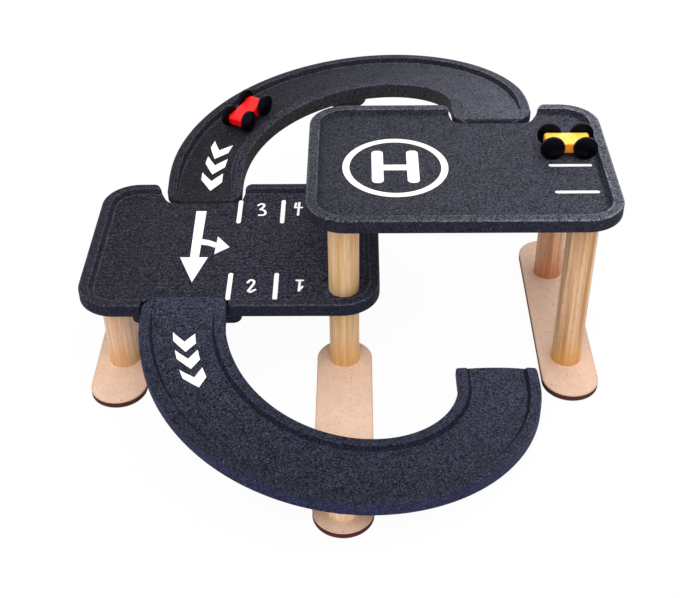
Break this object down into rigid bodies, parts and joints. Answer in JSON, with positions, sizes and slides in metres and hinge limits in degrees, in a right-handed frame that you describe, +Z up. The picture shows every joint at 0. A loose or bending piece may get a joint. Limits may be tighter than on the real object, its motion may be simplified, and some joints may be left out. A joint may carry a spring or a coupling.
{
  "type": "toy parking garage",
  "caption": "Two tray decks at different heights on round posts and board feet, joined by half-round ramps that lift off, with small wheeled cars that roll.",
  "frame": {"origin": "on the ground under the middle of the object's bounding box", "axes": "+Z up, +X along the decks from the low deck to the high deck, +Y from the lower ramp to the upper ramp"},
  "size_m": [0.4354, 0.517, 0.1821],
  "materials": {
    "moulded_wood": "matt, dark, speckled",
    "post_wood": "satin, straight grain",
    "board": "matt board, dark cut edge",
    "steel": "plain",
    "yellow_paint": "gloss paint",
    "red_paint": "gloss paint",
    "wheel_black": "gloss"
  },
  "bodies": {
    "garage": {"left_foot": "board", "right_foot": "board", "front_foot": "board", "rear_foot": "board", "left_front_post": "post_wood", "left_rear_post": "post_wood", "right_front_post": "post_wood", "right_rear_post": "post_wood", "middle_front_lower_post": "post_wood", "middle_rear_lower_post": "post_wood", "middle_front_upper_post": "post_wood", "middle_rear_upper_post": "post_wood", "lower_ramp_post": "post_wood", "upper_ramp_post": "post_wood", "mid_deck": "moulded_wood", "upper_deck": "moulded_wood", "foot_screws": "steel", "deck_dowels": "post_wood", "through_dowels": "post_wood"},
    "lower_ramp": {"lower_ramp": "moulded_wood"},
    "upper_ramp": {"upper_ramp": "moulded_wood"},
    "yellow_car": {"yellow_car_body": "yellow_paint"},
    "yellow_front_wheels": {"yellow_front_axle": "steel", "yellow_front_left_wheel": "wheel_black", "yellow_front_right_wheel": "wheel_black"},
    "yellow_rear_wheels": {"yellow_rear_axle": "steel", "yellow_rear_left_wheel": "wheel_black", "yellow_rear_right_wheel": "wheel_black"},
    "red_car": {"red_car_body": "red_paint"},
    "red_front_wheels": {"red_front_axle": "steel", "red_front_left_wheel": "wheel_black", "red_front_right_wheel": "wheel_black"},
    "red_rear_wheels": {"red_rear_axle": "steel", "red_rear_left_wheel": "wheel_black", "red_rear_right_wheel": "wheel_black"}
  },
  "joints": [
    {"name": "lower_ramp_lift", "type": "slide", "parent": "garage", "child": "lower_ramp", "axis": [0, 0, 1], "range_m": [0, 0.06]},
    {"name": "upper_ramp_lift", "type": "slide", "parent": "garage", "child": "upper_ramp", "axis": [0, 0, 1], "range_m": [0, 0.06]},
    {"name": "yellow_car_roll", "type": "slide", "parent": "garage", "child": "yellow_car", "axis": [1, 0, 0], "range_m": [-0.15, 0]},
    {"name": "yellow_front_wheels_turn", "type": "hinge", "parent": "yellow_car", "child": "yellow_front_wheels", "pos_m": [0.19685, 0.0191, 0.1721], "axis": [0, 1, 0], "range_deg": [-900, 900]},
    {"name": "yellow_rear_wheels_turn", "type": "hinge", "parent": "yellow_car", "child": "yellow_rear_wheels", "pos_m": [0.17015, 0.0191, 0.1721], "axis": [0, 1, 0], "range_deg": [-900, 900]},
    {"name": "red_car_roll", "type": "slide", "parent": "upper_ramp", "child": "red_car", "axis": [0.5407, 0.8212, 0.1823], "range_m": [0, 0.02]},
    {"name": "red_front_wheels_turn", "type": "hinge", "parent": "red_car", "child": "red_front_wheels", "pos_m": [-0.10109, 0.16627, 0.11229], "axis": [-0.8323, 0.5537, -0.0256], "range_deg": [-360, 360]},
    {"name": "red_rear_wheels_turn", "type": "hinge", "parent": "red_car", "child": "red_rear_wheels", "pos_m": [-0.08665, 0.1882, 0.11716], "axis": [-0.8323, 0.5537, -0.0256], "range_deg": [-360, 360]}
  ],
  "couplings": [
    {"joint": "yellow_front_wheels_turn", "follows": "yellow_car_roll", "rad_per_m": 100},
    {"joint": "yellow_rear_wheels_turn", "follows": "yellow_car_roll", "rad_per_m": 100},
    {"joint": "red_front_wheels_turn", "follows": "red_car_roll", "rad_per_m": 100},
    {"joint": "red_rear_wheels_turn", "follows": "red_car_roll", "rad_per_m": 100}
  ]
}
